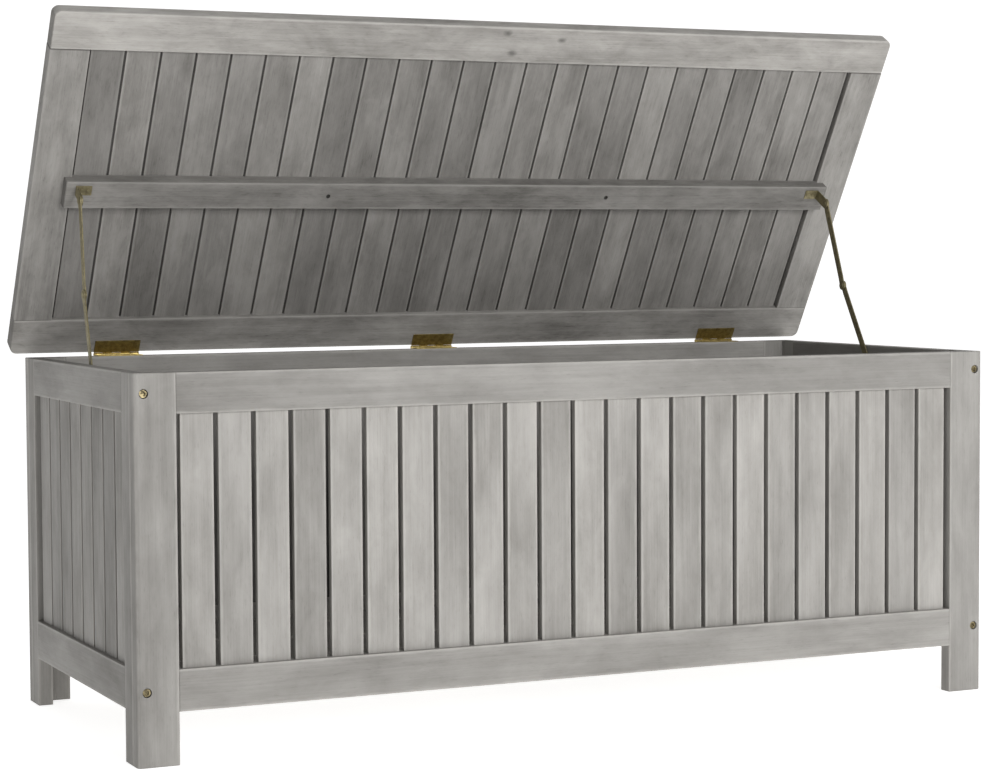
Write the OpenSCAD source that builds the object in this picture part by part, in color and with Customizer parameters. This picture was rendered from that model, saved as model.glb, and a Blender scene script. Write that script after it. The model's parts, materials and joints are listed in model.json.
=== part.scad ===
// Slatted wooden deck storage box with a hinged lid held open by two folding stays.
// Millimetres, +Z up. The box stands on Z = 0 and its front faces -Y.
// Joint value 0 is the open pose: the lid leans on its stays.

/* [Box] */
// Width of the box, across the front
body_w = 1230; // [900:5:1500]
// Depth of the box, front to back
body_d = 522; // [400:1:700]
// Height of the rim above the floor
rim_h = 478; // [380:1:600]
// Height of the open space under the bottom rails
foot_h = 65.5; // [40:0.5:100]
// Thickness of the frame boards
board_t = 20; // [16:0.5:26]
// Width of a front or back stile
stile_w = 53; // [45:0.5:70]
// Width of a side stile, behind the front stile
side_stile_w = 32; // [28:0.5:50]
// Height of a top rail
top_rail_h = 50; // [40:0.5:70]
// Height of a bottom rail
bottom_rail_h = 52; // [44:0.5:70]
// Rounding of the upright outer edges
post_round = 6; // [2:0.5:8]

/* [Slats] */
// Slats in the front panel
front_slats = 23; // [15:1:27]
// Slats in a side panel
side_slats = 8; // [5:1:10]
// Slats in the lid
lid_slats = 24; // [15:1:28]
// Gap beside each panel slat
slat_gap = 6.45; // [3:0.05:9]
// Gap beside each lid slat
lid_slat_gap = 3.2; // [2:0.1:8]
// How far a lid slat's tongue enters the groove of its neighbour
tongue_in = 3; // [2:0.25:4]
// Thickness of a tongue
tongue_t = 3; // [2:0.25:4]
// Thickness of a slat
slat_t = 9; // [7:0.5:11]
// How far a slat's face lies behind the face of its frame
slat_recess = 6.5; // [4:0.5:8]
// Depth of the grooves that hold the slats' ends
groove_depth = 8; // [5:0.5:12]
// Clearance on each face of a slat in its groove
groove_clear = 0.2; // [0.1:0.05:0.5]

/* [Lid] */
// Thickness of the lid's frame
lid_t = 20; // [16:0.5:26]
// How far the lid passes each side of the box
lid_overhang = 20; // [5:1:40]
// Width of the lid's front and rear rails
lid_rail_w = 54; // [45:0.5:70]
// Width of the lid's side stiles
lid_stile_w = 53; // [45:0.5:70]
// Rounding of the lid's corners, seen from above
lid_corner = 10; // [4:1:20]
// Angle of the lid above its closed position
lid_open = 59; // [50:0.5:70]
// Width of the batten across the middle of the lid
batten_w = 40; // [30:1:60]
// Thickness of the batten
batten_t = 14; // [10:0.5:24]
// Distance from the hinge axis to the middle of the batten
batten_s = 263.5; // [230:0.5:300]
// Gap between each end of the batten and the box's inner face
batten_clear = 2; // [1:0.5:10]
// Distance of each batten screw from the middle of the lid
batten_screw_x = 218; // [100:1:400]

/* [Hinges] */
// Length of a hinge
hinge_l = 65; // [50:1:90]
// Distance between the outer two hinges
hinge_span = 966; // [600:1:1000]
// Width of a leaf, measured from the hinge axis
leaf_w = 22; // [18:0.5:30]
// Thickness of a leaf
leaf_t = 1.2; // [1:0.1:2]
// Gap between the two leaves when the lid is closed
leaf_gap = 0.6; // [0.6:0.1:3]
// Radius of the knuckles
knuckle_r = 2.6; // [2.4:0.1:4]
// Radius of a hinge pin
hinge_pin_r = 1.3; // [1:0.1:2]
// Radial running clearance of pins and rivets
pin_clear = 0.05; // [0.02:0.01:0.1]

/* [Stays] */
// Distance of the foot pivot in front of the hinge axis
foot_pivot_s = 271.4; // [260:0.1:290]
// Depth of the foot pivot below the rim
foot_pivot_drop = 26; // [24:1:32]
// Distance of the lid pivot from the hinge axis, along the lid
lid_pivot_s = 271; // [260:1:284]
// Distance of the lid pivot below the plane of the hinge axis
lid_pivot_drop = 40; // [34:1:46]
// How far the elbow of the open stay lies behind the line between its pivots
elbow_bow = 12; // [8:0.5:16]
// How far the elbow lies above the middle of that line
elbow_shift = 0.25; // [0:0.05:1]
// Width of a stay arm
arm_w = 11; // [8:0.5:12]
// Thickness of a stay arm
arm_t = 1.8; // [1.5:0.1:2.4]
// Radius of the eye at each end of an arm
eye_r = 7; // [6:0.5:8]
// Radius of the rivets in the stays
rivet_r = 2.5; // [2:0.1:3]
// Sideways offset of each arm between its two ends
arm_jog = 5; // [2:0.5:7]
// Gap between neighbouring pieces on a pivot
pivot_gap = 0.3; // [0.3:0.05:0.5]
// Thickness of the brackets' plates
plate_t = 1.2; // [1:0.1:2]

/* [Floor] */
// Boards in the floor
floor_boards = 12; // [8:1:16]
// Thickness of a floor board
floor_t = 9; // [7:0.5:12]
// Side of a square cleat under the floor
cleat = 20; // [15:1:25]
// Gap between floor boards
floor_gap = 6; // [3:0.5:10]

/* [Fasteners] */
// Distance of the corner bolts from the side of the box
bolt_x = 12.5; // [11:0.5:14]
// Radius of a corner bolt's shank
bolt_r = 3; // [2.5:0.5:4]
// Radius of a corner bolt's head
bolt_head_r = 5; // [4.5:0.5:6.5]
// Height of a corner bolt's head
bolt_head_h = 4; // [3:0.5:6]
// Depth of the counterbore that hides the head
bolt_sink = 6; // [5.5:0.5:8]
// Clearance around shanks and heads in wood
hole_clear = 0.5; // [0.3:0.1:1]
// Radius of a barrel nut
nut_r = 5; // [4.5:0.5:6]
// Length of a barrel nut
nut_l = 13; // [12:0.5:14]
// Radius of a wood screw's head
screw_head_r = 3; // [2.5:0.5:4]
// Radius of a wood screw's shank
screw_r = 1.5; // [1:0.25:2]

/* [Hidden] */

$fn = 48;
cut = 1; // how far a cutting tool passes the wood

WOOD = [0.60, 0.58, 0.55];
WOOD_DARK = [0.46, 0.45, 0.43];
BRASS = [0.55, 0.45, 0.22];
BRONZE = [0.35, 0.30, 0.20];
STEEL = [0.62, 0.62, 0.60];

half_w = body_w / 2;
inner_half_w = half_w - board_t;
post_w = board_t + side_stile_w;
top_rail_z = rim_h - top_rail_h;
bottom_rail_top = foot_h + bottom_rail_h;
bolt_heights = [foot_h + bottom_rail_h / 2, rim_h - top_rail_h / 2];

// Hinge axis, clear of the back face and of the rim
knuckle_clear = 0.4;
axis_y = body_d + knuckle_r + knuckle_clear;
axis_z = rim_h + leaf_t + leaf_gap / 2;
lid_z = axis_z + leaf_gap / 2 + leaf_t;
lid_half_w = half_w + lid_overhang;
hinge_xs = [-hinge_span / 2, 0, hinge_span / 2];

// The open lid reaches behind the back face, so the plan centre of the open box lies a little further back
lid_reach = axis_y - (axis_y - body_d) * cos(lid_open) + (lid_z + lid_t - axis_z) * sin(lid_open);
front_y = -lid_reach / 2;

// Pivots of the stays in the open pose: [distance behind the front face, height]
foot_pivot = [axis_y - foot_pivot_s, rim_h - foot_pivot_drop];
lid_pivot = [
    axis_y - lid_pivot_s * cos(lid_open) - lid_pivot_drop * sin(lid_open),
    axis_z + lid_pivot_s * sin(lid_open) - lid_pivot_drop * cos(lid_open)
];
pivot_span = norm(lid_pivot - foot_pivot);
pivot_dir = (lid_pivot - foot_pivot) / pivot_span;
elbow = foot_pivot + (pivot_span / 2 + elbow_shift) * pivot_dir + elbow_bow * [pivot_dir[1], -pivot_dir[0]];

// Sideways places of the stay's layers, measured in from the box's inner face
lower_arm_x = plate_t + pivot_gap;
elbow_x = lower_arm_x + arm_jog;
upper_arm_x = elbow_x + arm_t + pivot_gap;
ear_x = upper_arm_x + arm_jog + arm_t + pivot_gap;
ear_t = 1.8;
ear_plate_l = 22;
foot_plate_l = 43;
foot_plate_h = 14;
rivet_head_t = 0.9;
rivet_head_r = rivet_r + 2;
foot_screw_ys = [for (d = [15, 30]) foot_pivot[0] - d];
bracket_screw_xs = [for (d = [6, 15]) ear_x + ear_t + d];
pan_head_h = 1.2;

// Heights of the stay's lid end with the lid closed
batten_face_z = lid_z - batten_t;
lid_pivot_z = axis_z - lid_pivot_drop;
lid_pivot_y = axis_y - lid_pivot_s;

// Floor
floor_clear = 1;
floor_span = 2 * (inner_half_w - floor_clear);
plank_w = (floor_span - (floor_boards - 1) * floor_gap) / floor_boards;
plank_top = foot_h + cleat + floor_t;
countersink_h = 2.2;
countersink_clear = 0.1;

// Corner bolts and their nuts
socket_depth = 2.5;
socket_r = 2.9;
nut_inset = 0.2;
nut_y = board_t + side_stile_w * 0.68;

// Lid
lid_slat_span = 2 * (lid_half_w - lid_stile_w);
lid_slat_z = lid_z + slat_recess;
tongue_z = (slat_t - tongue_t) / 2; // above a slat's underside
tongue_room = tongue_in + 0.5;
batten_half_l = inner_half_w - batten_clear;
batten_screw_xs = [-batten_screw_x, batten_screw_x];
batten_screw_depth = 2.5;
batten_head_h = 2;

module placed() { translate([0, front_y, 0]) children(); }

module on_lid() {
    placed()
        translate([0, axis_y, axis_z])
            rotate([-lid_open, 0, 0])
                translate([0, -axis_y, -axis_z])
                    children();
}

module mirrored(right) {
    if (right) mirror([1, 0, 0]) children();
    else children();
}

module block(from, to) { translate(from) cube(to - from); }

// A cylinder along X from x0 to x1
module rod_x(x0, x1, y, z, r) { translate([x0, y, z]) rotate([0, 90, 0]) cylinder(h = x1 - x0, r = r); }

// A cylinder along Y from y0 to y1
module rod_y(x, y0, y1, z, r) { translate([x, y1, z]) rotate([90, 0, 0]) cylinder(h = y1 - y0, r = r); }

// A rectangle with its corner at the origin rounded off, and with both its front corners if both is true
module rounded_front(w, d, r, both) {
    union() {
        translate([r, 0]) square([w - (both ? 2 : 1) * r, d]);
        translate([0, r]) square([w, d - r]);
        translate([r, r]) circle(r);
        if (both) translate([w - r, r]) circle(r);
    }
}

// ---- Frame of the box ----

// Counterbored holes for the corner bolts, in the coordinates of a front left stile
module stile_bolt_holes() {
    for (z = bolt_heights) {
        rod_y(-half_w + bolt_x, -cut, board_t + cut, z, bolt_r + hole_clear);
        rod_y(-half_w + bolt_x, -cut, bolt_sink, z, bolt_head_r + hole_clear);
    }
}

module face_stile() {
    difference() {
        translate([-half_w, 0, 0])
            linear_extrude(rim_h)
                rounded_front(stile_w, board_t, post_round, false);
        stile_bolt_holes();
    }
}

module back_facing() { translate([0, body_d, 0]) mirror([0, 1, 0]) children(); }

// A groove along X in a rail whose outer face lies at y = 0
module groove_x(x0, x1, z0, z1) {
    block([x0, slat_recess - groove_clear, z0], [x1, slat_recess + slat_t + groove_clear, z1]);
}

module face_top_rail() {
    difference() {
        block([-half_w + stile_w, 0, top_rail_z], [half_w - stile_w, board_t, rim_h]);
        groove_x(-half_w, half_w, top_rail_z - cut, top_rail_z + groove_depth);
    }
}

module face_bottom_rail() {
    difference() {
        block([-half_w + stile_w, 0, foot_h], [half_w - stile_w, board_t, bottom_rail_top]);
        groove_x(-half_w, half_w, bottom_rail_top - groove_depth, bottom_rail_top + cut);
    }
}

// Slats side by side along X, with the same gap at both ends
module slat_row(length, count, gap, z0, z1) {
    slat_w = (length - (count + 1) * gap) / count;
    for (i = [0 : count - 1])
        translate([-length / 2 + gap + i * (slat_w + gap), 0, z0])
            cube([slat_w, slat_t, z1 - z0]);
}

module face_slats() {
    translate([0, slat_recess, 0])
        slat_row(body_w - 2 * stile_w, front_slats, slat_gap,
            bottom_rail_top - groove_depth, top_rail_z + groove_depth);
}

// Slats lying side by side along X, with a tongue across each gap; an end gap of 0 has no tongue
module tongued_row(length, count, gap, end_gap, run) {
    slat_w = (length - 2 * end_gap - (count - 1) * gap) / count;
    for (i = [0 : count - 1]) {
        x0 = -length / 2 + end_gap + i * (slat_w + gap);
        x1 = x0 + slat_w;
        tongued_left = i == 0 && end_gap > 0;
        right_gap = i < count - 1 ? gap : end_gap;
        difference() {
            union() {
                block([x0, 0, 0], [x1, run, slat_t]);
                block([tongued_left ? x0 - end_gap - tongue_in : x1 - tongue_in, 0, tongue_z],
                    [right_gap > 0 ? x1 + right_gap + tongue_in : x1, run, tongue_z + tongue_t]);
            }
            if (i > 0)
                block([x0 - cut, -cut, tongue_z - groove_clear],
                    [x0 + tongue_room, run + cut, tongue_z + tongue_t + groove_clear]);
        }
    }
}

// The back panel's slats close up against each other, so nothing shows through
module closed_face_slats() {
    translate([0, slat_recess + slat_t, bottom_rail_top - groove_depth])
        rotate([90, 0, 0])
            tongued_row(body_w - 2 * stile_w, front_slats, slat_gap, 0,
                top_rail_z - bottom_rail_top + 2 * groove_depth);
}

// ---- Side panels, drawn for the left side ----

module side_front_stile() {
    difference() {
        block([-half_w, board_t, 0], [-inner_half_w, post_w, rim_h]);
        for (z = bolt_heights) {
            rod_y(-half_w + bolt_x, board_t - cut, post_w + cut, z, bolt_r + hole_clear);
            rod_x(-half_w + board_t - nut_l, -inner_half_w + cut, nut_y, z, nut_r);
        }
    }
}

module side_rear_stile() { back_facing() side_front_stile(); }

module groove_y(z0, z1) {
    block([-half_w + slat_recess - groove_clear, 0, z0],
        [-half_w + slat_recess + slat_t + groove_clear, body_d, z1]);
}

module side_top_rail() {
    difference() {
        block([-half_w, post_w, top_rail_z], [-inner_half_w, body_d - post_w, rim_h]);
        groove_y(top_rail_z - cut, top_rail_z + groove_depth);
    }
}

module side_bottom_rail() {
    difference() {
        block([-half_w, post_w, foot_h], [-inner_half_w, body_d - post_w, bottom_rail_top]);
        groove_y(bottom_rail_top - groove_depth, bottom_rail_top + cut);
    }
}

module side_slats_row() {
    translate([-half_w + slat_recess + slat_t, body_d / 2, 0])
        rotate([0, 0, 90])
            slat_row(body_d - 2 * post_w, side_slats, slat_gap,
                bottom_rail_top - groove_depth, top_rail_z + groove_depth);
}

// ---- Floor ----

module floor_cleat() {
    block([-inner_half_w, board_t, foot_h], [inner_half_w, board_t + cleat, foot_h + cleat]);
}

function plank_x(i) = -floor_span / 2 + i * (plank_w + floor_gap);

module floor_row() {
    for (i = [0 : floor_boards - 1])
        difference() {
            block([plank_x(i), board_t + floor_clear, foot_h + cleat],
                [plank_x(i) + plank_w, body_d - board_t - floor_clear, plank_top]);
            plank_screws(i, countersink_clear, cut);
        }
}

// The two countersunk screws of one floor board, or the holes for them
module plank_screws(i, grow, above) {
    for (y = [board_t + cleat / 2, body_d - board_t - cleat / 2])
        translate([plank_x(i) + plank_w / 2, y, 0])
            union() {
                translate([0, 0, plank_top - countersink_h])
                    cylinder(h = countersink_h + above, r = screw_head_r + grow);
                translate([0, 0, plank_top - floor_t]) cylinder(h = floor_t, r = screw_r + grow);
            }
}

// ---- Fasteners of the corners ----

module corner_bolt(z) {
    head_y = bolt_sink - bolt_head_h;
    difference() {
        union() {
            rod_y(-half_w + bolt_x, head_y, bolt_sink, z, bolt_head_r);
            rod_y(-half_w + bolt_x, bolt_sink, nut_y + nut_r, z, bolt_r);
        }
        translate([-half_w + bolt_x, head_y + socket_depth, z])
            rotate([90, 0, 0])
                cylinder(h = socket_depth + cut, r = socket_r, $fn = 6);
    }
}

module barrel_nut(z) {
    difference() {
        rod_x(-half_w + board_t - nut_l, -half_w + board_t - nut_inset, nut_y, z, nut_r);
        rod_y(-half_w + bolt_x, nut_y - nut_r - cut, nut_y + nut_r + cut, z, bolt_r);
    }
}

module at_four_corners() {
    for (side = [0, 1])
        mirrored(side == 1) {
            children();
            back_facing() children();
        }
}

// ---- Lid, drawn closed ----

module lid_rail() {
    difference() {
        translate([-lid_half_w, 0, lid_z])
            linear_extrude(lid_t)
                rounded_front(2 * lid_half_w, lid_rail_w, lid_corner, true);
        block([-lid_slat_span / 2 - tongue_room, lid_rail_w - groove_depth, lid_slat_z - groove_clear],
            [lid_slat_span / 2 + tongue_room, lid_rail_w + cut, lid_slat_z + slat_t + groove_clear]);
    }
}

module lid_stile() {
    inner_x = -lid_half_w + lid_stile_w;
    difference() {
        block([-lid_half_w, lid_rail_w, lid_z], [inner_x, body_d - lid_rail_w, lid_z + lid_t]);
        block([inner_x - tongue_room, 0, lid_slat_z + tongue_z - groove_clear],
            [inner_x + cut, body_d, lid_slat_z + tongue_z + tongue_t + groove_clear]);
    }
}

module lid_slat_row() {
    translate([0, lid_rail_w - groove_depth, lid_slat_z])
        tongued_row(lid_slat_span, lid_slats, lid_slat_gap, lid_slat_gap,
            body_d - 2 * (lid_rail_w - groove_depth));
}

// The batten reaches up between the lid's stiles to the recessed slats
module batten() {
    difference() {
        block([-batten_half_l, axis_y - batten_s - batten_w / 2, batten_face_z],
            [batten_half_l, axis_y - batten_s + batten_w / 2, lid_slat_z]);
        for (side = [0, 1])
            mirrored(side == 1)
                block([-lid_half_w, 0, lid_z], [-lid_slat_span / 2, body_d, lid_z + lid_t]);
        for (x = batten_screw_xs)
            translate([x, axis_y - batten_s, batten_face_z - cut])
                cylinder(h = cut + batten_screw_depth, r = screw_head_r);
        for (x = batten_screw_xs)
            translate([x, axis_y - batten_s, batten_face_z])
                cylinder(h = lid_slat_z - batten_face_z + cut, r = screw_r);
    }
}

module batten_screw(x) {
    translate([x, axis_y - batten_s, batten_face_z + batten_screw_depth])
        union() {
            translate([0, 0, -batten_head_h]) cylinder(h = batten_head_h, r = screw_head_r);
            cylinder(h = lid_slat_z - batten_face_z - batten_screw_depth, r = screw_r);
        }
}

// ---- Hinges ----

knuckles = 5;
knuckle_gap = 0.4;
knuckle_l = (hinge_l - (knuckles - 1) * knuckle_gap) / knuckles;
leaf_screw_xs = [for (share = [-0.34, 0, 0.34]) hinge_l * share];
leaf_screw_y = axis_y - leaf_w * 0.6;
leaf_head_t = leaf_gap * 0.35;

function knuckle_x(i) = -hinge_l / 2 + i * (knuckle_l + knuckle_gap);

// A leaf whose plate starts at z0; own is 0 for the box's leaf and 1 for the lid's
module leaf(own, z0, bore_r) {
    difference() {
        union() {
            block([-hinge_l / 2, axis_y - leaf_w, z0], [hinge_l / 2, axis_y - knuckle_r / 2, z0 + leaf_t]);
            for (i = [own : 2 : knuckles - 1])
                rod_x(knuckle_x(i), knuckle_x(i) + knuckle_l, axis_y, axis_z, knuckle_r);
        }
        for (i = [1 - own : 2 : knuckles - 1])
            rod_x(knuckle_x(i) - knuckle_gap, knuckle_x(i) + knuckle_l + knuckle_gap, axis_y, axis_z,
                knuckle_r + knuckle_clear);
        rod_x(-hinge_l, hinge_l, axis_y, axis_z, bore_r);
        for (x = leaf_screw_xs)
            translate([x, leaf_screw_y, z0 - cut])
                cylinder(h = leaf_t + 2 * cut, r = screw_r);
    }
}

module box_leaf(x) { translate([x, 0, 0]) leaf(0, rim_h, hinge_pin_r); }

module lid_leaf(x) { translate([x, 0, 0]) leaf(1, lid_z - leaf_t, hinge_pin_r + pin_clear); }

module hinge_pin(x) { rod_x(x - hinge_l / 2, x + hinge_l / 2, axis_y, axis_z, hinge_pin_r); }

// A screw through a leaf into the wood; up is 1 for the lid's screws
module leaf_screw(x, up) {
    z0 = up == 1 ? lid_z - leaf_t : rim_h + leaf_t;
    translate([x, leaf_screw_y, z0])
        mirror([0, 0, up == 1 ? 1 : 0])
            union() {
                cylinder(h = leaf_head_t, r = screw_head_r);
                translate([0, 0, -leaf_t]) cylinder(h = leaf_t, r = screw_r);
            }
}

// ---- Stays, drawn for the left side in the open pose ----

// A flat bar with an eye at each end, in the plane of the open stay
module arm_outline(a, b) {
    translate(a)
        rotate(atan2(b[1] - a[1], b[0] - a[0]))
            union() {
                translate([0, -arm_w / 2]) square([norm(b - a), arm_w]);
                circle(eye_r);
                translate([norm(b - a), 0]) circle(eye_r);
            }
}

// Stands a drawing of the side view up at a place across the box
module side_plane(x, t) {
    translate([-inner_half_w + x, 0, 0])
        rotate([90, 0, 90])
            linear_extrude(t)
                children();
}

module stay_hole(p, r) { rod_x(-inner_half_w - cut, -inner_half_w + ear_x * 2, p[0], p[1], r); }

module foot_plate() {
    difference() {
        union() {
            block([-inner_half_w, foot_pivot[0] - foot_plate_l + foot_plate_h / 2,
                    foot_pivot[1] - foot_plate_h / 2],
                [-inner_half_w + plate_t, foot_pivot[0], foot_pivot[1] + foot_plate_h / 2]);
            rod_x(-inner_half_w, -inner_half_w + plate_t, foot_pivot[0], foot_pivot[1], foot_plate_h / 2);
        }
        stay_hole(foot_pivot, rivet_r);
        for (y = foot_screw_ys)
            stay_hole([y, foot_pivot[1]], screw_r);
    }
}

// A rivet at p whose heads end at x0 and x1; without a first head, shank0 equals x0
module rivet(p, x0, x1, shank0, shank1) {
    rod_x(-inner_half_w + shank0, -inner_half_w + shank1, p[0], p[1], rivet_r);
    if (shank0 > x0) rod_x(-inner_half_w + x0, -inner_half_w + shank0, p[0], p[1], rivet_head_r);
    rod_x(-inner_half_w + shank1, -inner_half_w + x1, p[0], p[1], rivet_head_r);
}

module foot_rivet() {
    end = lower_arm_x + arm_t + pivot_gap;
    rivet(foot_pivot, 0, end + rivet_head_t, 0, end);
}

// An arm from a to b whose far end lies arm_jog further in: its side view, cut from a bar stepped sideways
module stepped_arm(a, b, x) {
    span = norm(b - a);
    flat = eye_r + 6;
    past = 2 * eye_r;
    intersection() {
        side_plane(x - cut, arm_jog + arm_t + 2 * cut) arm_outline(a, b);
        translate([-inner_half_w + x, a[0], a[1]])
            rotate([atan2(b[1] - a[1], b[0] - a[0]), 0, 0])
                translate([0, 0, -arm_w])
                    linear_extrude(2 * arm_w)
                        polygon([
                            [0, -past], [0, flat], [arm_jog, span - flat], [arm_jog, span + past],
                            [arm_jog + arm_t, span + past], [arm_jog + arm_t, span - flat],
                            [arm_t, flat], [arm_t, -past]
                        ]);
    }
}

// Each arm carries its own half of the elbow's rivet
module lower_arm() {
    difference() {
        union() {
            stepped_arm(foot_pivot, elbow, lower_arm_x);
            rod_x(-inner_half_w + elbow_x - rivet_head_t, -inner_half_w + elbow_x + arm_t / 2,
                elbow[0], elbow[1], rivet_head_r);
        }
        stay_hole(foot_pivot, rivet_r + pin_clear);
    }
}

module upper_arm() {
    difference() {
        union() {
            stepped_arm(elbow, lid_pivot, upper_arm_x);
            rod_x(-inner_half_w + upper_arm_x + arm_t / 2,
                -inner_half_w + upper_arm_x + arm_t + rivet_head_t,
                elbow[0], elbow[1], rivet_head_r);
        }
        stay_hole(lid_pivot, rivet_r + pin_clear);
    }
}

// The lid's bracket, drawn with the lid closed: a plate on the batten and an ear beside the upper arm
module lid_bracket() {
    x0 = -inner_half_w + ear_x;
    y0 = lid_pivot_y - eye_r;
    y1 = lid_pivot_y + eye_r;
    difference() {
        union() {
            block([x0, y0, batten_face_z - plate_t], [x0 + ear_plate_l, y1, batten_face_z]);
            block([x0, y0, lid_pivot_z], [x0 + ear_t, y1, batten_face_z]);
            rod_x(x0, x0 + ear_t, lid_pivot_y, lid_pivot_z, eye_r);
        }
        stay_hole([lid_pivot_y, lid_pivot_z], rivet_r);
        for (x = bracket_screw_xs)
            translate([-inner_half_w + x, lid_pivot_y, batten_face_z - plate_t - cut])
                cylinder(h = plate_t + 2 * cut, r = screw_r);
    }
}

// Drawn with the lid closed; it is fixed in the ear, and the upper arm turns on it
module lid_rivet() {
    start = upper_arm_x + arm_jog - pivot_gap;
    end = ear_x + ear_t;
    rivet([lid_pivot_y, lid_pivot_z], start - rivet_head_t, end + rivet_head_t, start, end);
}

// A pan-head screw through a plate whose underside lies at the origin, pointing along +Z
module plate_screw() {
    union() {
        cylinder(h = plate_t, r = screw_r);
        translate([0, 0, -pan_head_h]) cylinder(h = pan_head_h, r = screw_head_r);
    }
}

module foot_plate_screw(y) {
    translate([-inner_half_w + plate_t, y, foot_pivot[1]]) rotate([0, -90, 0]) plate_screw();
}

module bracket_screw(x) {
    translate([-inner_half_w + x, lid_pivot_y, batten_face_z - plate_t]) plate_screw();
}

// ---- Nodes ----

module front_left_stile() { color(WOOD) placed() face_stile(); }
module front_right_stile() { color(WOOD) placed() mirrored(true) face_stile(); }
module front_top_rail() { color(WOOD) placed() face_top_rail(); }
module front_bottom_rail() { color(WOOD) placed() face_bottom_rail(); }
module front_slats_panel() { color(WOOD_DARK) placed() face_slats(); }
module back_left_stile() { color(WOOD) placed() back_facing() face_stile(); }
module back_right_stile() { color(WOOD) placed() back_facing() mirrored(true) face_stile(); }
module back_top_rail() { color(WOOD) placed() back_facing() face_top_rail(); }
module back_bottom_rail() { color(WOOD) placed() back_facing() face_bottom_rail(); }
module back_slats_panel() { color(WOOD_DARK) placed() back_facing() closed_face_slats(); }

module left_front_stile() { color(WOOD) placed() side_front_stile(); }
module left_rear_stile() { color(WOOD) placed() side_rear_stile(); }
module left_top_rail() { color(WOOD) placed() side_top_rail(); }
module left_bottom_rail() { color(WOOD) placed() side_bottom_rail(); }
module left_slats_panel() { color(WOOD_DARK) placed() side_slats_row(); }
module right_front_stile() { color(WOOD) placed() mirrored(true) side_front_stile(); }
module right_rear_stile() { color(WOOD) placed() mirrored(true) side_rear_stile(); }
module right_top_rail() { color(WOOD) placed() mirrored(true) side_top_rail(); }
module right_bottom_rail() { color(WOOD) placed() mirrored(true) side_bottom_rail(); }
module right_slats_panel() { color(WOOD_DARK) placed() mirrored(true) side_slats_row(); }

module front_floor_cleat() { color(WOOD_DARK) placed() floor_cleat(); }
module rear_floor_cleat() { color(WOOD_DARK) placed() back_facing() floor_cleat(); }
module floor_planks() { color(WOOD) placed() floor_row(); }
module floor_screws() { color(STEEL) placed() for (i = [0 : floor_boards - 1]) plank_screws(i, 0, 0); }

module corner_bolts() { color(BRASS) placed() at_four_corners() for (z = bolt_heights) corner_bolt(z); }
module barrel_nuts() { color(STEEL) placed() at_four_corners() for (z = bolt_heights) barrel_nut(z); }

module lid_front_rail() { color(WOOD) on_lid() lid_rail(); }
module lid_rear_rail() { color(WOOD) on_lid() back_facing() lid_rail(); }
module lid_left_stile() { color(WOOD) on_lid() lid_stile(); }
module lid_right_stile() { color(WOOD) on_lid() mirrored(true) lid_stile(); }
module lid_slats_panel() { color(WOOD_DARK) on_lid() lid_slat_row(); }
module lid_batten() { color(WOOD) on_lid() batten(); }
module batten_screws() { color(STEEL) on_lid() for (x = batten_screw_xs) batten_screw(x); }

module left_hinge_box_leaf() { color(BRASS) placed() box_leaf(hinge_xs[0]); }
module middle_hinge_box_leaf() { color(BRASS) placed() box_leaf(hinge_xs[1]); }
module right_hinge_box_leaf() { color(BRASS) placed() box_leaf(hinge_xs[2]); }
module left_hinge_lid_leaf() { color(BRASS) on_lid() lid_leaf(hinge_xs[0]); }
module middle_hinge_lid_leaf() { color(BRASS) on_lid() lid_leaf(hinge_xs[1]); }
module right_hinge_lid_leaf() { color(BRASS) on_lid() lid_leaf(hinge_xs[2]); }
module left_hinge_pin() { color(BRONZE) placed() hinge_pin(hinge_xs[0]); }
module middle_hinge_pin() { color(BRONZE) placed() hinge_pin(hinge_xs[1]); }
module right_hinge_pin() { color(BRONZE) placed() hinge_pin(hinge_xs[2]); }
module hinge_box_screws() {
    color(BRASS) placed() for (h = hinge_xs, x = leaf_screw_xs) leaf_screw(h + x, 0);
}
module hinge_lid_screws() {
    color(BRASS) on_lid() for (h = hinge_xs, x = leaf_screw_xs) leaf_screw(h + x, 1);
}

module left_stay_foot_plate() { color(BRONZE) placed() foot_plate(); }
module left_stay_foot_rivet() { color(BRASS) placed() foot_rivet(); }
module left_stay_lower_arm() { color(BRONZE) placed() lower_arm(); }
module left_stay_lid_rivet() { color(BRASS) on_lid() lid_rivet(); }
module left_stay_upper_arm() { color(BRONZE) placed() upper_arm(); }
module left_stay_lid_bracket() { color(BRONZE) on_lid() lid_bracket(); }
module right_stay_foot_plate() { color(BRONZE) placed() mirrored(true) foot_plate(); }
module right_stay_foot_rivet() { color(BRASS) placed() mirrored(true) foot_rivet(); }
module right_stay_lower_arm() { color(BRONZE) placed() mirrored(true) lower_arm(); }
module right_stay_lid_rivet() { color(BRASS) on_lid() mirrored(true) lid_rivet(); }
module right_stay_upper_arm() { color(BRONZE) placed() mirrored(true) upper_arm(); }
module right_stay_lid_bracket() { color(BRONZE) on_lid() mirrored(true) lid_bracket(); }
module stay_box_screws() {
    color(BRASS) placed()
        for (side = [0, 1], y = foot_screw_ys)
            mirrored(side == 1) foot_plate_screw(y);
}
module stay_lid_screws() {
    color(BRASS) on_lid()
        for (side = [0, 1], x = bracket_screw_xs)
            mirrored(side == 1) bracket_screw(x);
}

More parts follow.
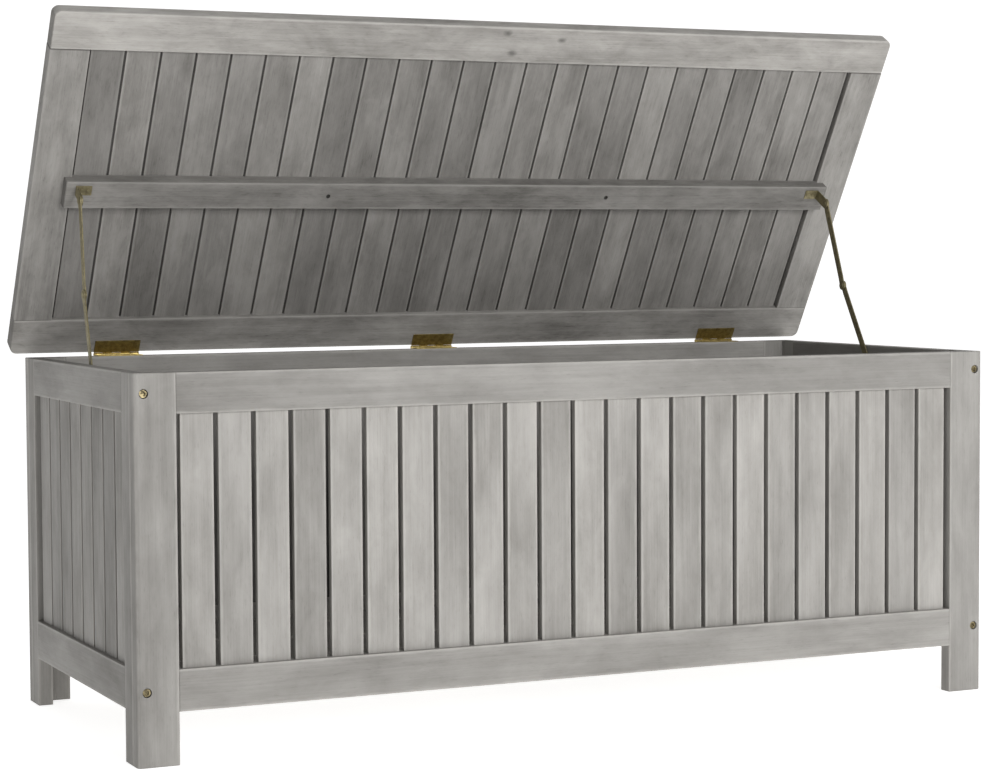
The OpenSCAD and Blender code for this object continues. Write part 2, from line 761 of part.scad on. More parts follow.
front_left_stile();
front_right_stile();
front_top_rail();
front_bottom_rail();
front_slats_panel();
back_left_stile();
back_right_stile();
back_top_rail();
back_bottom_rail();
back_slats_panel();
left_front_stile();
left_rear_stile();
left_top_rail();
left_bottom_rail();
left_slats_panel();
right_front_stile();
right_rear_stile();
right_top_rail();
right_bottom_rail();
right_slats_panel();
front_floor_cleat();
rear_floor_cleat();
floor_planks();
floor_screws();
corner_bolts();
barrel_nuts();
lid_front_rail();
lid_rear_rail();
lid_left_stile();
lid_right_stile();
lid_slats_panel();
lid_batten();
batten_screws();
left_hinge_box_leaf();
middle_hinge_box_leaf();
right_hinge_box_leaf();
left_hinge_lid_leaf();
middle_hinge_lid_leaf();
right_hinge_lid_leaf();
left_hinge_pin();
middle_hinge_pin();
right_hinge_pin();
hinge_box_screws();
hinge_lid_screws();
left_stay_foot_plate();
left_stay_foot_rivet();
left_stay_lower_arm();
left_stay_lid_rivet();
left_stay_upper_arm();
left_stay_lid_bracket();
right_stay_foot_plate();
right_stay_foot_rivet();
right_stay_lower_arm();
right_stay_lid_rivet();
right_stay_upper_arm();
right_stay_lid_bracket();
stay_box_screws();
stay_lid_screws();
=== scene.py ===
import json
import math
import random

import bmesh
import bpy
from mathutils import Matrix, Vector

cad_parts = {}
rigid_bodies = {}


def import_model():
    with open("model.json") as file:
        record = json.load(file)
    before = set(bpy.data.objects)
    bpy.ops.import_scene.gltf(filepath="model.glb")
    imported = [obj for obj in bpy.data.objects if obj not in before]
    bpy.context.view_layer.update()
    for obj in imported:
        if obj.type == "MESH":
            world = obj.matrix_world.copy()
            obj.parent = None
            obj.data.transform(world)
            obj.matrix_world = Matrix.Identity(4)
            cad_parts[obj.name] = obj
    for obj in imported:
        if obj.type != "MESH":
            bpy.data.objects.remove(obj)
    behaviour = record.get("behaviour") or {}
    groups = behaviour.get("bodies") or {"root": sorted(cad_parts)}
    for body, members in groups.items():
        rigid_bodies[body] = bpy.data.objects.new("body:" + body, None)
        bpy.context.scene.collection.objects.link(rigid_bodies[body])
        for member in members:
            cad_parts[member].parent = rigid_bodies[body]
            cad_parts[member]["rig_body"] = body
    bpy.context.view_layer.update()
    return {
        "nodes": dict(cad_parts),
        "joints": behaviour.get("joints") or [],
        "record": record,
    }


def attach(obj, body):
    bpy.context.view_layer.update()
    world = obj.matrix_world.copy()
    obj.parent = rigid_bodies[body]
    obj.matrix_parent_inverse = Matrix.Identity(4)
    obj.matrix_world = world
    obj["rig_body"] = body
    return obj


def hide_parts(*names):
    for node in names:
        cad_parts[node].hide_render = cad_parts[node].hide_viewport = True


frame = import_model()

NODES = frame["nodes"]
SLOT_OF = {part["node"]: part["material_slot"] for part in frame["record"]["subparts"]}
MM = 0.001
WELD = 1e-6  # vertices closer than this are one
SAME_PLACE = 1e-5  # coordinates closer than this are the same
SHARP_EDGE = 0.7  # radians between two faces
SMOOTH_UNDER = math.radians(50)
CYLINDER_SIDES = 40

# ---- The lid is drawn open; its boards are built closed and turned back ----

lid_hinge = next(j for j in frame["joints"] if j["name"] == "lid_hinge")
hinge_point = Vector(lid_hinge["pos_m"])
closing = (
    Matrix.Translation(hinge_point)
    @ Matrix.Rotation(math.radians(lid_hinge["range_deg"][1]), 4, "X")
    @ Matrix.Translation(-hinge_point)
)


def body_of(name):
    return NODES[name]["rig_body"]


def upright(name):
    """The turn that brings a node's body square to the axes."""
    return closing if body_of(name) == "lid" else Matrix.Identity(4)


def solids(name):
    """The vertices of each separate solid of a CAD node, square to the axes."""
    bm = bmesh.new()
    bm.from_mesh(NODES[name].data)
    bm.transform(upright(name))
    bmesh.ops.remove_doubles(bm, verts=bm.verts, dist=WELD)
    left = set(bm.verts)
    found = []
    while left:
        todo = [left.pop()]
        group = []
        while todo:
            v = todo.pop()
            group.append(v.co.copy())
            for e in v.link_edges:
                w = e.other_vert(v)
                if w in left:
                    left.remove(w)
                    todo.append(w)
        found.append(group)
    bm.free()
    return sorted(found, key=lambda g: tuple(round(c, 4) for c in extent(g)[0]))


def extent(points):
    lo = Vector([min(p[i] for p in points) for i in range(3)])
    hi = Vector([max(p[i] for p in points) for i in range(3)])
    return lo, hi


# ---- Boards ----

# What the wood reads at each vertex: its place in the grain, its place in the board, and the
# board's half size
LAYERS = ("grain", "cross", "half")


def box_part(lo, hi):
    bm = bmesh.new()
    bmesh.ops.create_cube(bm, size=1)
    size = hi - lo
    bm.transform(Matrix.Translation((lo + hi) / 2) @ Matrix.Diagonal((size.x, size.y, size.z, 1)))
    return bm


def round_edges(bm, edges, radius, segments):
    bmesh.ops.bevel(bm, geom=edges, offset=radius, offset_type="OFFSET", segments=segments,
                    profile=0.5, affect="EDGES", clamp_overlap=True)


def edge_along(bm, axis, places):
    """Edges parallel to an axis whose middles lie at the given places on the other axes."""
    picked = []
    for e in bm.edges:
        a, b = e.verts[0].co, e.verts[1].co
        run = b - a
        if abs(run[axis]) < 0.99 * run.length:
            continue
        mid = (a + b) / 2
        if all(abs(mid[i] - value) < SAME_PLACE for i, value in places.items()):
            picked.append(e)
    return picked


def sharp_edges(bm):
    return [e for e in bm.edges if len(e.link_faces) == 2 and e.calc_face_angle(0) > SHARP_EDGE]


def cylinder_part(start, end, radius):
    bm = bmesh.new()
    axis = Vector(end) - Vector(start)
    turn = Vector((0, 0, 1)).rotation_difference(axis).to_matrix().to_4x4()
    bmesh.ops.create_cone(bm, cap_ends=True, segments=CYLINDER_SIDES, radius1=radius,
                          radius2=radius, depth=axis.length)
    bm.transform(Matrix.Translation((Vector(start) + Vector(end)) / 2) @ turn)
    return bm


def carve(bm, cutters):
    """Takes the cutters out of bm."""
    mesh = bpy.data.meshes.new("work")
    bm.to_mesh(mesh)
    bm.free()
    body = bpy.data.objects.new("work", mesh)
    bpy.context.scene.collection.objects.link(body)
    tools = []
    for cutter in cutters:
        tool_mesh = bpy.data.meshes.new("tool")
        cutter.to_mesh(tool_mesh)
        cutter.free()
        tool = bpy.data.objects.new("tool", tool_mesh)
        bpy.context.scene.collection.objects.link(tool)
        tools.append(tool)
        mod = body.modifiers.new("cut", "BOOLEAN")
        mod.operation = "DIFFERENCE"
        mod.solver = "EXACT"
        mod.object = tool
    bpy.context.view_layer.update()
    done = bmesh.new()
    depsgraph = bpy.context.evaluated_depsgraph_get()
    done.from_mesh(body.evaluated_get(depsgraph).to_mesh())
    for o in [body] + tools:
        data = o.data
        bpy.data.objects.remove(o)
        bpy.data.meshes.remove(data)
    return done


class Piece:
    """One visual object that stands for one CAD node."""

    def __init__(self, node):
        self.node = node
        self.bm = bmesh.new()
        for layer in LAYERS:
            self.bm.verts.layers.float_vector.new(layer)
        self.bm.verts.layers.float.new("tone_and_shade")

    def add(self, part, lo, hi, tone_and_shade, shift):
        size = hi - lo
        order = sorted(range(3), key=lambda i: -size[i])
        centre = (lo + hi) / 2
        grain, cross, half = (self.bm.verts.layers.float_vector[layer] for layer in LAYERS)
        tone_layer = self.bm.verts.layers.float["tone_and_shade"]
        made = {}
        for v in part.verts:
            w = self.bm.verts.new(v.co)
            local = Vector([v.co[i] - centre[i] for i in order])
            w[grain] = local + shift
            w[cross] = local
            w[half] = Vector([size[i] / 2 for i in order])
            w[tone_layer] = tone_and_shade
            made[v] = w
        for f in part.faces:
            self.bm.faces.new([made[v] for v in f.verts])
        part.free()

    def finish(self, material):
        self.bm.transform(upright(self.node).inverted())
        mesh = bpy.data.meshes.new("vis_" + self.node)
        self.bm.normal_update()
        self.bm.to_mesh(mesh)
        self.bm.free()
        return place(self.node, mesh, material)


def place(node, mesh, material):
    for polygon in mesh.polygons:
        polygon.use_smooth = True
    mesh.set_sharp_from_angle(angle=SMOOTH_UNDER)
    obj = bpy.data.objects.new("vis_" + node, mesh)
    bpy.context.scene.collection.objects.link(obj)
    mesh.materials.append(material)
    weigh = obj.modifiers.new("weighted_normals", "WEIGHTED_NORMAL")
    weigh.keep_sharp = True
    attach(obj, body_of(node))
    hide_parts(node)
    return obj


# ---- Materials ----


def add_node(tree, kind, *inputs, out=0, **settings):
    made = tree.nodes.new(kind)
    for key, value in settings.items():
        setattr(made, key, value)
    for i, value in enumerate(inputs):
        if isinstance(value, bpy.types.NodeSocket):
            tree.links.new(value, made.inputs[i])
        elif value is not None:
            made.inputs[i].default_value = value
    return made.outputs[out]


def attribute(tree, name, out="Vector"):
    made = tree.nodes.new("ShaderNodeAttribute")
    made.attribute_name = name
    return made.outputs[out]


def maths(tree, operation, a, b=None, c=None, clamp=False):
    return add_node(tree, "ShaderNodeMath", a, b, c, operation=operation, use_clamp=clamp)


def ramp(tree, value, low, high, to_low=0.0, to_high=1.0):
    return add_node(tree, "ShaderNodeMapRange", value, low, high, to_low, to_high)


def noise(tree, vector, scale, detail, roughness, distortion=0.0):
    stretched = add_node(tree, "ShaderNodeVectorMath", vector, scale, operation="MULTIPLY")
    return add_node(tree, "ShaderNodeTexNoise", stretched, None, 1.0, detail, roughness, 2.0,
                    None, None, distortion)


def mix(tree, factor, a, b, blend="MIX"):
    made = tree.nodes.new("ShaderNodeMix")
    made.data_type = "RGBA"
    made.blend_type = blend
    for i, value in ((0, factor), (6, a), (7, b)):
        if isinstance(value, bpy.types.NodeSocket):
            tree.links.new(value, made.inputs[i])
        else:
            made.inputs[i].default_value = value
    return made.outputs[2]


def add_bump(tree, shader, height, strength, distance):
    bump = tree.nodes.new("ShaderNodeBump")
    bump.inputs["Strength"].default_value = strength
    bump.inputs["Distance"].default_value = distance
    tree.links.new(height, bump.inputs["Height"])
    tree.links.new(bump.outputs[0], shader.inputs["Normal"])


def blank(name):
    material = bpy.data.materials.new(name)
    material.use_nodes = True
    tree = material.node_tree
    tree.nodes.clear()
    shader = tree.nodes.new("ShaderNodeBsdfPrincipled")
    end = tree.nodes.new("ShaderNodeOutputMaterial")
    tree.links.new(shader.outputs[0], end.inputs[0])
    return material, tree, shader


# Noises of the wood: scale along, across and through a board (per metre), detail, roughness and
# distortion
WOOD_NOISES = {
    "fibre": ((7, 520, 520), 3, 0.6, 0.0),
    "streak": ((2.4, 85, 60), 5, 0.62, 0.3),
    "contour": ((1.1, 16, 16), 2, 0.5, 0.2),
    "blotch": ((3.5, 11, 11), 4, 0.6, 0.0),
    "pores": ((95, 1500, 1500), 2, 0.5, 0.0),
    "cloud": ((14, 30, 30), 5, 0.65, 0.4),
    "specks": ((55, 420, 420), 3, 0.7, 0.0),
    "edge_band_noise": ((26, 90, 90), 3, 0.6, 0.0),
}
KNOT_NOISE = ((160, 320, 320), 3, 0.6)
# How strongly each noise moves the wood from its middle level towards its dark or its light colour
MIDDLE_LEVEL = 0.58
STREAK_WEIGHT, FIBRE_WEIGHT, BLOTCH_WEIGHT, CLOUD_WEIGHT = 0.42, 0.4, 1.6, 0.75
SPECK_WEIGHT, RING_WEIGHT, PORE_WEIGHT = -0.3, -0.07, -0.25
PORE_EDGE, SPECK_EDGE = (0.62, 0.72), (0.56, 0.68)
RINGS_PER_CONTOUR = 16
RING_WIDTH = 0.45
KNOT_LENGTH = 1.5  # along the grain, in widths
KNOT_EDGE = (0.3, 1.35)
KNOT_RAGGED = 0.8
KNOT_MIX, KNOT_SHADE = 0.6, 0.33
END_SHADE = 0.8
END_BAND = (0.4 * MM, 1.6 * MM)
# The band along the long edges that is lightened: rubbed wear and partly a painted highlight on the
# arrises.
WEAR_AND_HIGHLIGHT_BAND = (0.6 * MM, 3.6 * MM)
WEAR_AND_HIGHLIGHT_MIX = 0.75
EDGE_BAND_JITTER = 6 * MM
TONE_AND_SHADE_STEP = 0.14
WOOD_ROUGHNESS = (0.82, 0.62)
WOOD_GLOSS = 0.28
WOOD_BUMP, WOOD_BUMP_DEPTH = 0.35, 0.4 * MM
RING_HEIGHT, PORE_HEIGHT = -0.5, -0.8  # against the fibres' height of 1


def darker(colour, share):
    return [c * share for c in colour[:3]] + [1]


def knot_mask(tree, cross, knots):
    """1 in the middle of each knot, given as (along, across, radius), and 0 away from them."""
    place = add_node(tree, "ShaderNodeSeparateXYZ", cross).node
    ragged = noise(tree, cross, *KNOT_NOISE)
    ragged = maths(tree, "MULTIPLY_ADD", ragged, KNOT_RAGGED, -KNOT_RAGGED / 2)
    mask = None
    for along, across, radius in knots:
        dx = maths(tree, "SUBTRACT", place.outputs[0], along)
        dx = maths(tree, "DIVIDE", dx, radius * KNOT_LENGTH)
        dy = maths(tree, "SUBTRACT", place.outputs[1], across)
        dy = maths(tree, "DIVIDE", dy, radius)
        square = maths(tree, "MULTIPLY_ADD", dx, dx, maths(tree, "MULTIPLY", dy, dy))
        distance = maths(tree, "ADD", maths(tree, "SQRT", square), ragged)
        core = ramp(tree, distance, *KNOT_EDGE, 1.0, 0.0)
        mask = core if mask is None else maths(tree, "MAXIMUM", mask, core)
    return mask


def wood(name, dark, light, worn_and_highlight, knots=(), mottle=1.0, end_mix=0.3):
    material, tree, shader = blank(name)
    grain = attribute(tree, "grain")
    cross = attribute(tree, "cross")
    half = attribute(tree, "half")
    tone_and_shade = attribute(tree, "tone_and_shade", "Fac")
    made = {key: noise(tree, grain, *settings) for key, settings in WOOD_NOISES.items()}
    rings = maths(tree, "MULTIPLY", made["contour"], RINGS_PER_CONTOUR)
    rings = maths(tree, "PINGPONG", rings, 1.0)
    rings = ramp(tree, rings, 0.0, RING_WIDTH, 1.0, 0.0)
    pores = ramp(tree, made["pores"], *PORE_EDGE)
    specks = ramp(tree, made["specks"], *SPECK_EDGE)
    level = MIDDLE_LEVEL
    for key, weight in (("streak", STREAK_WEIGHT), ("fibre", FIBRE_WEIGHT),
                        ("blotch", BLOTCH_WEIGHT), ("cloud", CLOUD_WEIGHT * mottle)):
        level = maths(tree, "ADD", level, -weight / 2)
        level = maths(tree, "MULTIPLY_ADD", made[key], weight, level)
    level = maths(tree, "MULTIPLY_ADD", specks, SPECK_WEIGHT * (mottle - 1.0), level)
    level = maths(tree, "MULTIPLY_ADD", rings, RING_WEIGHT, level)
    level = maths(tree, "MULTIPLY_ADD", pores, PORE_WEIGHT, level, clamp=True)
    colour = mix(tree, level, dark, light)
    # Lighter arrises, rubbed wear and partly a painted highlight: the distance to the nearest long
    # edge of the board
    far = add_node(tree, "ShaderNodeVectorMath", cross, operation="ABSOLUTE")
    room = add_node(tree, "ShaderNodeVectorMath", half, far, operation="SUBTRACT")
    room = add_node(tree, "ShaderNodeSeparateXYZ", room).node
    across = maths(tree, "MULTIPLY", room.outputs[1], room.outputs[1])
    depth = maths(tree, "MULTIPLY", room.outputs[2], room.outputs[2])
    arris = maths(tree, "SQRT", maths(tree, "ADD", across, depth))
    arris = maths(tree, "ADD", arris, -EDGE_BAND_JITTER / 2)
    arris = maths(tree, "MULTIPLY_ADD", made["edge_band_noise"], EDGE_BAND_JITTER, arris)
    colour = mix(tree, ramp(tree, arris, *WEAR_AND_HIGHLIGHT_BAND, WEAR_AND_HIGHLIGHT_MIX, 0.0), colour, worn_and_highlight)
    # Darker ends, where one board meets another
    end_cut = ramp(tree, room.outputs[0], *END_BAND, end_mix, 0.0)
    colour = mix(tree, end_cut, colour, darker(dark, END_SHADE))
    if knots:
        in_knot = maths(tree, "MULTIPLY", knot_mask(tree, cross, knots), KNOT_MIX)
        colour = mix(tree, in_knot, colour, darker(dark, KNOT_SHADE))
    # The board's tone, which also carries painted shade: the darkened tongues, the back slats and
    # some frame boards.
    shade = maths(tree, "MULTIPLY_ADD", tone_and_shade, TONE_AND_SHADE_STEP, 1.0)
    toned = add_node(tree, "ShaderNodeVectorMath", colour, operation="SCALE")
    tree.links.new(shade, toned.node.inputs["Scale"])
    tree.links.new(toned, shader.inputs["Base Color"])
    tree.links.new(ramp(tree, level, 0.0, 1.0, *WOOD_ROUGHNESS), shader.inputs["Roughness"])
    shader.inputs["Specular IOR Level"].default_value = WOOD_GLOSS
    height = maths(tree, "MULTIPLY_ADD", rings, RING_HEIGHT, made["fibre"])
    height = maths(tree, "MULTIPLY_ADD", pores, PORE_HEIGHT, height)
    add_bump(tree, shader, height, WOOD_BUMP, WOOD_BUMP_DEPTH)
    return material


# Noises of the metal, as those of the wood
PATINA_NOISE = ((160, 160, 160), 4, 0.6)
BRUSH_NOISE = ((90, 1400, 1400), 3, 0.6)
SPOT_NOISE = ((700, 700, 700), 2, 0.5)
SPOT_WEIGHT = 0.3
PATINA_ROUGHNESS, BRUSH_ROUGHNESS = 0.18, 0.12
METAL_BUMP, METAL_BUMP_DEPTH = 0.2, 0.1 * MM


def metal(name, base, patina, metallic, rough, spread):
    """Base metal under patches of patina; spread is how soft the patches' edges are. On the bolts
    and the zinc steel these colours are darkened partly as painted shade.
    """
    material, tree, shader = blank(name)
    coords = tree.nodes.new("ShaderNodeTexCoord").outputs["Object"]
    brush = noise(tree, coords, *BRUSH_NOISE)
    spots = noise(tree, coords, *SPOT_NOISE)
    mask = ramp(tree, noise(tree, coords, *PATINA_NOISE), 0.5 - spread, 0.5 + spread)
    mask = maths(tree, "ADD", mask, -SPOT_WEIGHT / 2)
    mask = maths(tree, "MULTIPLY_ADD", spots, SPOT_WEIGHT, mask, clamp=True)
    tree.links.new(mix(tree, mask, base, patina), shader.inputs["Base Color"])
    shader.inputs["Metallic"].default_value = metallic
    gloss = maths(tree, "MULTIPLY_ADD", mask, PATINA_ROUGHNESS, rough)
    gloss = maths(tree, "MULTIPLY_ADD", brush, BRUSH_ROUGHNESS, gloss)
    tree.links.new(gloss, shader.inputs["Roughness"])
    add_bump(tree, shader, maths(tree, "ADD", brush, spots), METAL_BUMP, METAL_BUMP_DEPTH)
    return material


# Colours of the wood: in the grain's dark parts, in its light parts, and on worn edges, which
# partly stand for a painted highlight on the arrises
WORN_AND_HIGHLIGHT = (0.42, 0.405, 0.38, 1)
LID_DARK = (0.15, 0.143, 0.131, 1)
FRAME_WOOD = wood("frame_wood_mat", (0.19, 0.182, 0.169, 1), (0.372, 0.36, 0.34, 1), WORN_AND_HIGHLIGHT)
LID_WOOD = wood("frame_wood_lid_mat", LID_DARK, (0.415, 0.4, 0.376, 1), WORN_AND_HIGHLIGHT,
                mottle=1.7, end_mix=0.65)
KNOT_WOOD = wood("frame_wood_knots_mat", LID_DARK, (0.405, 0.39, 0.367, 1), WORN_AND_HIGHLIGHT,
                 mottle=1.5, end_mix=0.65,
                 knots=((0.005, -0.018, 0.0042), (0.0182, 0.0125, 0.0044), (0.0903, -0.010, 0.004)))
SLAT_WOOD = wood("slat_wood_mat", (0.19, 0.182, 0.168, 1), (0.385, 0.372, 0.352, 1),
                 (0.41, 0.395, 0.37, 1))
LID_SLAT_WOOD = wood("slat_wood_lid_mat", (0.17, 0.162, 0.149, 1), (0.405, 0.39, 0.367, 1),
                     (0.41, 0.395, 0.37, 1), mottle=1.6)
INNER_WOOD = wood("inner_wood_mat", (0.165, 0.156, 0.142, 1), (0.33, 0.317, 0.296, 1),
                  (0.35, 0.335, 0.31, 1))
WOODS = {"frame_wood": FRAME_WOOD, "slat_wood": SLAT_WOOD, "inner_wood": INNER_WOOD}
SPECIAL_WOODS = {
    "lid_front_rail": KNOT_WOOD, "lid_rear_rail": LID_WOOD, "lid_batten": LID_WOOD,
    "lid_left_stile": LID_WOOD, "lid_right_stile": LID_WOOD, "lid_slats_panel": LID_SLAT_WOOD,
}
METALS = {
    "hinge_brass": metal("hinge_brass_mat", (0.5, 0.39, 0.14, 1), (0.21, 0.155, 0.055, 1),
                         metallic=0.9, rough=0.27, spread=0.2),
    "stay_bronze": metal("stay_bronze_mat", (0.31, 0.27, 0.15, 1), (0.15, 0.13, 0.075, 1),
                         metallic=0.55, rough=0.38, spread=0.25),
    # Partly painted shade: the bolt heads' brass is dimmed and its patina made dark to stand for
    # the shade of the counterbores around them, besides their real patina.
    "bolt_brass": metal("bolt_brass_mat", (0.36, 0.3, 0.17, 1), (0.09, 0.075, 0.045, 1),
                        metallic=0.9, rough=0.3, spread=0.12),
    # Painted shade: the zinc steel is coloured far darker than zinc plating so that the batten
    # screws' heads look dark, as if in shade in their counterbores; the nuts and floor screws share
    # it.
    "zinc_steel": metal("zinc_steel_mat", (0.09, 0.087, 0.08, 1), (0.04, 0.038, 0.035, 1),
                        metallic=0.9, rough=0.45, spread=0.2),
}

# ---- Wooden pieces ----

rng = random.Random(41)
EASE = {"frame_wood": 0.9 * MM, "slat_wood": 0.8 * MM, "inner_wood": 1.0 * MM}
END_EASE = 0.3 * MM
EASE_STEPS, END_STEPS = 3, 2
POST_ROUND, POST_STEPS = 6 * MM, 7
LID_CORNER, CORNER_STEPS = 10 * MM, 8
LID_FRONT_EASE, LID_REAR_EASE = 2.0 * MM, 1.0 * MM
CUT = MM  # how far a cutter passes the wood
BOLT_HOLE_DEPTH, BOLT_HOLE_CLEAR = 6 * MM, 0.9 * MM
BOLT_REACH = 20 * MM  # a stile's bolts lie no further than this from its outer face
SCREW_HOLE_DEPTH, SCREW_HOLE_CLEAR = 2.5 * MM, 0.2 * MM
ON_PLANE = 0.1 * MM
# A board's tone and painted shade, in steps of shade, and how much the tone varies from board to
# board
SLAT_SPREAD, FRAME_SPREAD = 0.4, 0.15
GRAIN_ROOM = (40, 4, 4)  # metres of wood that each board's grain is cut from
# Partly painted shade: the back slats are darkened to stand for the unlit inside of the box, the
# front's top rail and stiles are darker than its bottom rail, and the lid's rear rail and stiles
# are darker than its front rail, where less light falls.
TONE_AND_PAINTED_SHADE = {
    "front_slats_panel": 0.5, "front_top_rail": -0.8, "front_bottom_rail": 0.3,
    "front_left_stile": -0.4, "front_right_stile": -0.7, "back_slats_panel": -2.2,
    "lid_slats_panel": -2.2, "lid_batten": -2.2, "lid_front_rail": 0.4, "lid_rear_rail": -0.8,
    "lid_left_stile": -1.8, "lid_right_stile": -1.6, "left_slats_panel": -0.5,
    "left_top_rail": -0.8, "left_bottom_rail": -0.6, "left_front_stile": -0.6,
}
# Painted shade: the tongues between the slats of the lid and of the back are darkened to stand for
# the shade in the gaps between the slats.
TONGUE_PAINTED_SHADE = -5.6
bolts = [extent(points) for points in solids("corner_bolts")]


def random_shift():
    return Vector([rng.uniform(-room, room) for room in GRAIN_ROOM])


def ease_edges(part, size, ease):
    """Rounds the long edges, and then the edges of the ends a little."""
    axis = max(range(3), key=lambda i: size[i])
    lengthwise = [e for e in sharp_edges(part)
                  if abs((e.verts[0].co - e.verts[1].co)[axis]) > ON_PLANE]
    round_edges(part, lengthwise, ease, EASE_STEPS)
    round_edges(part, sharp_edges(part), END_EASE, END_STEPS)


def stile_part(node, lo, hi):
    """A front or back stile: rounded outer edge and the corner bolts' counterbores."""
    outer_x = lo.x if "left" in node else hi.x
    outer_y = lo.y if "front" in node else hi.y
    part = box_part(lo, hi)
    round_edges(part, edge_along(part, 2, {0: outer_x, 1: outer_y}), POST_ROUND, POST_STEPS)
    ease_edges(part, hi - lo, EASE["frame_wood"])
    into = 1 if "front" in node else -1
    cutters = []
    for b_lo, b_hi in bolts:
        middle = (b_lo + b_hi) / 2
        if lo.x < middle.x < hi.x and b_lo.y - BOLT_REACH < outer_y < b_hi.y + BOLT_REACH:
            radius = (b_hi.x - b_lo.x) / 2 + BOLT_HOLE_CLEAR
            start = (middle.x, outer_y - into * CUT, middle.z)
            end = (middle.x, outer_y + into * BOLT_HOLE_DEPTH, middle.z)
            cutters.append(cylinder_part(start, end, radius))
    return carve(part, cutters)


def lid_rail_part(node, lo, hi):
    part = box_part(lo, hi)
    outer_y = lo.y if "front" in node else hi.y
    for x in (lo.x, hi.x):
        round_edges(part, edge_along(part, 2, {0: x, 1: outer_y}), LID_CORNER, CORNER_STEPS)
    ease = LID_FRONT_EASE if "front" in node else LID_REAR_EASE
    round_edges(part, sharp_edges(part), ease, EASE_STEPS)
    return part


def batten_part(lo, hi):
    """The batten, cut around the lid's stiles and counterbored for its screws."""
    part = box_part(lo, hi)
    ease_edges(part, hi - lo, EASE["frame_wood"])
    stiles = ("lid_left_stile", "lid_right_stile")
    cutters = [box_part(*extent(solids(stile)[0])) for stile in stiles]
    for points in solids("batten_screws"):
        s_lo, s_hi = extent(points)
        middle = (s_lo + s_hi) / 2
        cutters.append(cylinder_part((middle.x, middle.y, lo.z - CUT),
                                     (middle.x, middle.y, lo.z + SCREW_HOLE_DEPTH),
                                     (s_hi.x - s_lo.x) / 2 + SCREW_HOLE_CLEAR))
    return carve(part, cutters)


def add_tongues(piece, points, lo, hi, shift):
    """Draws a slat's tongues, darkened as painted shade of the gaps between the slats, and returns
    the corners of the slat without them.
    """
    depth = min(range(3), key=lambda i: hi[i] - lo[i])
    face_lo, face_hi = extent([p for p in points if p[depth] < lo[depth] + ON_PLANE])
    body_lo, body_hi = lo.copy(), hi.copy()
    body_lo.x, body_hi.x = face_lo.x, face_hi.x
    for beyond, edge in ((hi.x, body_hi.x), (lo.x, body_lo.x)):
        if abs(beyond - edge) > ON_PLANE:
            tip_lo, tip_hi = extent([p for p in points if abs(p.x - beyond) < ON_PLANE])
            inside = edge - math.copysign(CUT, beyond - edge)
            tip_lo.x, tip_hi.x = min(inside, beyond), max(inside, beyond)
            piece.add(box_part(tip_lo, tip_hi), lo, hi, TONGUE_PAINTED_SHADE, shift)
    return body_lo, body_hi


def build_wood(node):
    piece = Piece(node)
    slot = SLOT_OF[node]
    for points in solids(node):
        lo, hi = extent(points)
        spread = SLAT_SPREAD if slot == "slat_wood" else FRAME_SPREAD
        # The node's set tone, partly painted shade, plus a random tone of its own.
        tone_and_shade = TONE_AND_PAINTED_SHADE.get(node, 0) + rng.gauss(0, spread)
        shift = random_shift()
        if node in ("lid_slats_panel", "back_slats_panel"):
            lo, hi = add_tongues(piece, points, lo, hi, shift)
        if node.split("_")[0] in ("front", "back") and node.endswith("_stile"):
            part = stile_part(node, lo, hi)
        elif node in ("lid_front_rail", "lid_rear_rail"):
            part = lid_rail_part(node, lo, hi)
        elif node == "lid_batten":
            part = batten_part(lo, hi)
        else:
            part = box_part(lo, hi)
            ease_edges(part, hi - lo, EASE[slot])
        piece.add(part, lo, hi, tone_and_shade, shift)
    return piece.finish(SPECIAL_WOODS.get(node, WOODS[slot]))


for node in NODES:
    if SLOT_OF[node] in WOODS:
        build_wood(node)

# ---- Metal pieces: the CAD shape with its edges eased ----

METAL_EASE = 0.35 * MM
FLAT_UNDER = math.radians(1)
# CAD pieces kept as they are, as little or nothing of them shows
KEPT_METAL = ("barrel_nuts", "floor_screws",
              "left_hinge_pin", "middle_hinge_pin", "right_hinge_pin")


def build_metal(node):
    mesh = NODES[node].data.copy()
    mesh.name = "vis_" + node
    bm = bmesh.new()
    bm.from_mesh(mesh)
    bmesh.ops.remove_doubles(bm, verts=bm.verts, dist=WELD)
    bmesh.ops.dissolve_limit(bm, angle_limit=FLAT_UNDER, verts=bm.verts, edges=bm.edges)
    round_edges(bm, sharp_edges(bm), METAL_EASE, END_STEPS)
    bm.to_mesh(mesh)
    bm.free()
    mesh.materials.clear()
    return place(node, mesh, METALS[SLOT_OF[node]])


for node in NODES:
    if SLOT_OF[node] in METALS:
        if node in KEPT_METAL:
            NODES[node].material_slots[0].material = METALS[SLOT_OF[node]]
        else:
            build_metal(node)

# ---- Floor, light and camera ----

FLOOR_HALF = 60
FLOOR_COLOUR = (0.86, 0.86, 0.86, 1)
FLOOR_GLOW = 0.75
WHITE = (1, 1, 1, 1)
SKY_TOWARDS = (0.42, 0.9, 0.05)  # the side of the sky that is bright, behind the object
SKY_RISE = (0.35, 0.8)
SKY_STRENGTH = (0.25, 1.1)
LENS, SENSOR = 89.57, 36
CAMERA_PLACE = (-1.4706, -3.1483, 0.6223)
CAMERA_TURN, CAMERA_DIP, CAMERA_ROLL = -24.958, 3.127, -0.301  # degrees

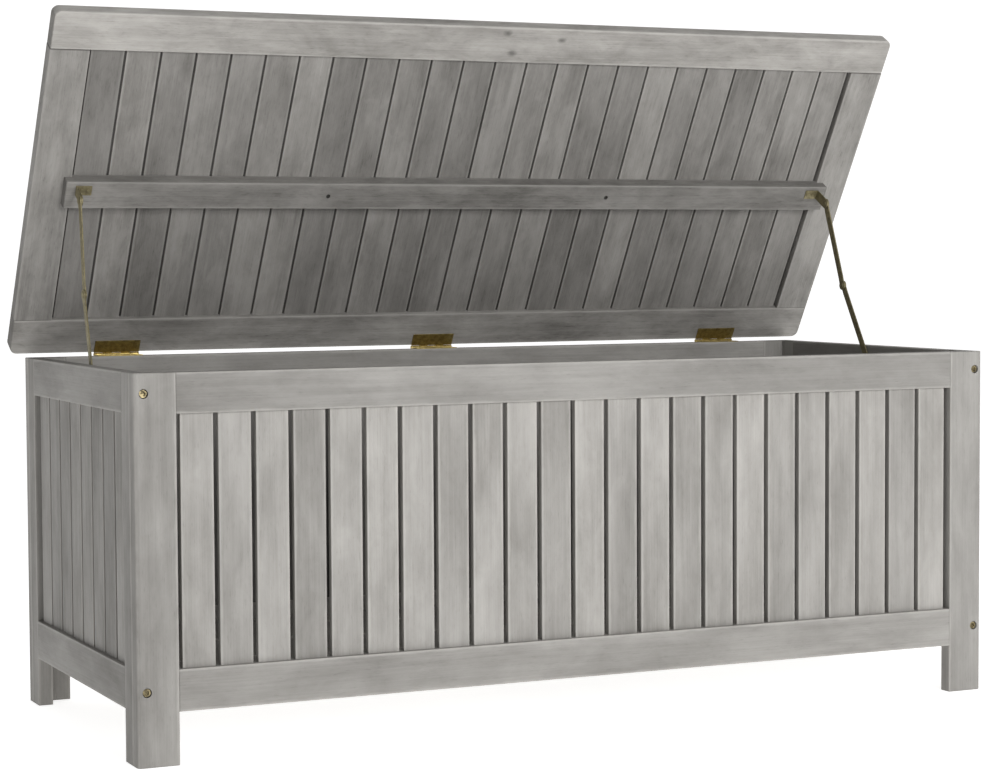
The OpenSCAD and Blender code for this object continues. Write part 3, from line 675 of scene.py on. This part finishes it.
floor_mesh = bpy.data.meshes.new("floor")
floor_bm = bmesh.new()
bmesh.ops.create_grid(floor_bm, x_segments=1, y_segments=1, size=FLOOR_HALF)
floor_bm.to_mesh(floor_mesh)
floor_bm.free()
floor = bpy.data.objects.new("floor", floor_mesh)
bpy.context.scene.collection.objects.link(floor)
floor_material, _, floor_shader = blank("floor_mat")
floor_shader.inputs["Base Color"].default_value = FLOOR_COLOUR
floor_shader.inputs["Roughness"].default_value = 0.9
floor_shader.inputs["Specular IOR Level"].default_value = 0.0
floor_shader.inputs["Emission Color"].default_value = WHITE
floor_shader.inputs["Emission Strength"].default_value = FLOOR_GLOW
floor_mesh.materials.append(floor_material)


def area_light(name, location, target, size, power):
    light = bpy.data.lights.new(name, "AREA")
    light.shape = "RECTANGLE"
    light.size, light.size_y = size
    light.energy = power
    obj = bpy.data.objects.new(name, light)
    obj.location = location
    obj.rotation_euler = (Vector(target) - Vector(location)).to_track_quat("-Z", "Y").to_euler()
    bpy.context.scene.collection.objects.link(obj)
    return obj


key = area_light("key", (0.35, -4.3, 1.5), (0.1, -0.2, 0.35), size=(1.8, 1.3), power=105)
top = area_light("top", (0.2, 0.4, 3.4), (0.1, 0.3, 0.0), size=(2.5, 2.0), power=12)

world = bpy.data.worlds.new("studio")
world.use_nodes = True
sky = world.node_tree
sky.nodes.clear()
direction = sky.nodes.new("ShaderNodeTexCoord").outputs["Generated"]
facing = add_node(sky, "ShaderNodeVectorMath", direction, SKY_TOWARDS,
                  operation="DOT_PRODUCT", out=1)
background = sky.nodes.new("ShaderNodeBackground")
background.inputs["Color"].default_value = WHITE
sky.links.new(ramp(sky, facing, *SKY_RISE, *SKY_STRENGTH), background.inputs["Strength"])
sky.links.new(background.outputs[0], sky.nodes.new("ShaderNodeOutputWorld").inputs[0])
bpy.context.scene.world = world

camera_data = bpy.data.cameras.new("camera")
camera_data.lens = LENS
camera_data.sensor_width = SENSOR
camera = bpy.data.objects.new("camera", camera_data)
camera.matrix_world = (
    Matrix.Translation(CAMERA_PLACE)
    @ Matrix.Rotation(math.radians(CAMERA_TURN), 4, "Z")
    @ Matrix.Rotation(math.radians(90 - CAMERA_DIP), 4, "X")
    @ Matrix.Rotation(math.radians(CAMERA_ROLL), 4, "Z")
)
bpy.context.scene.collection.objects.link(camera)
bpy.context.scene.camera = camera
bpy.context.scene.view_settings.view_transform = "Standard"
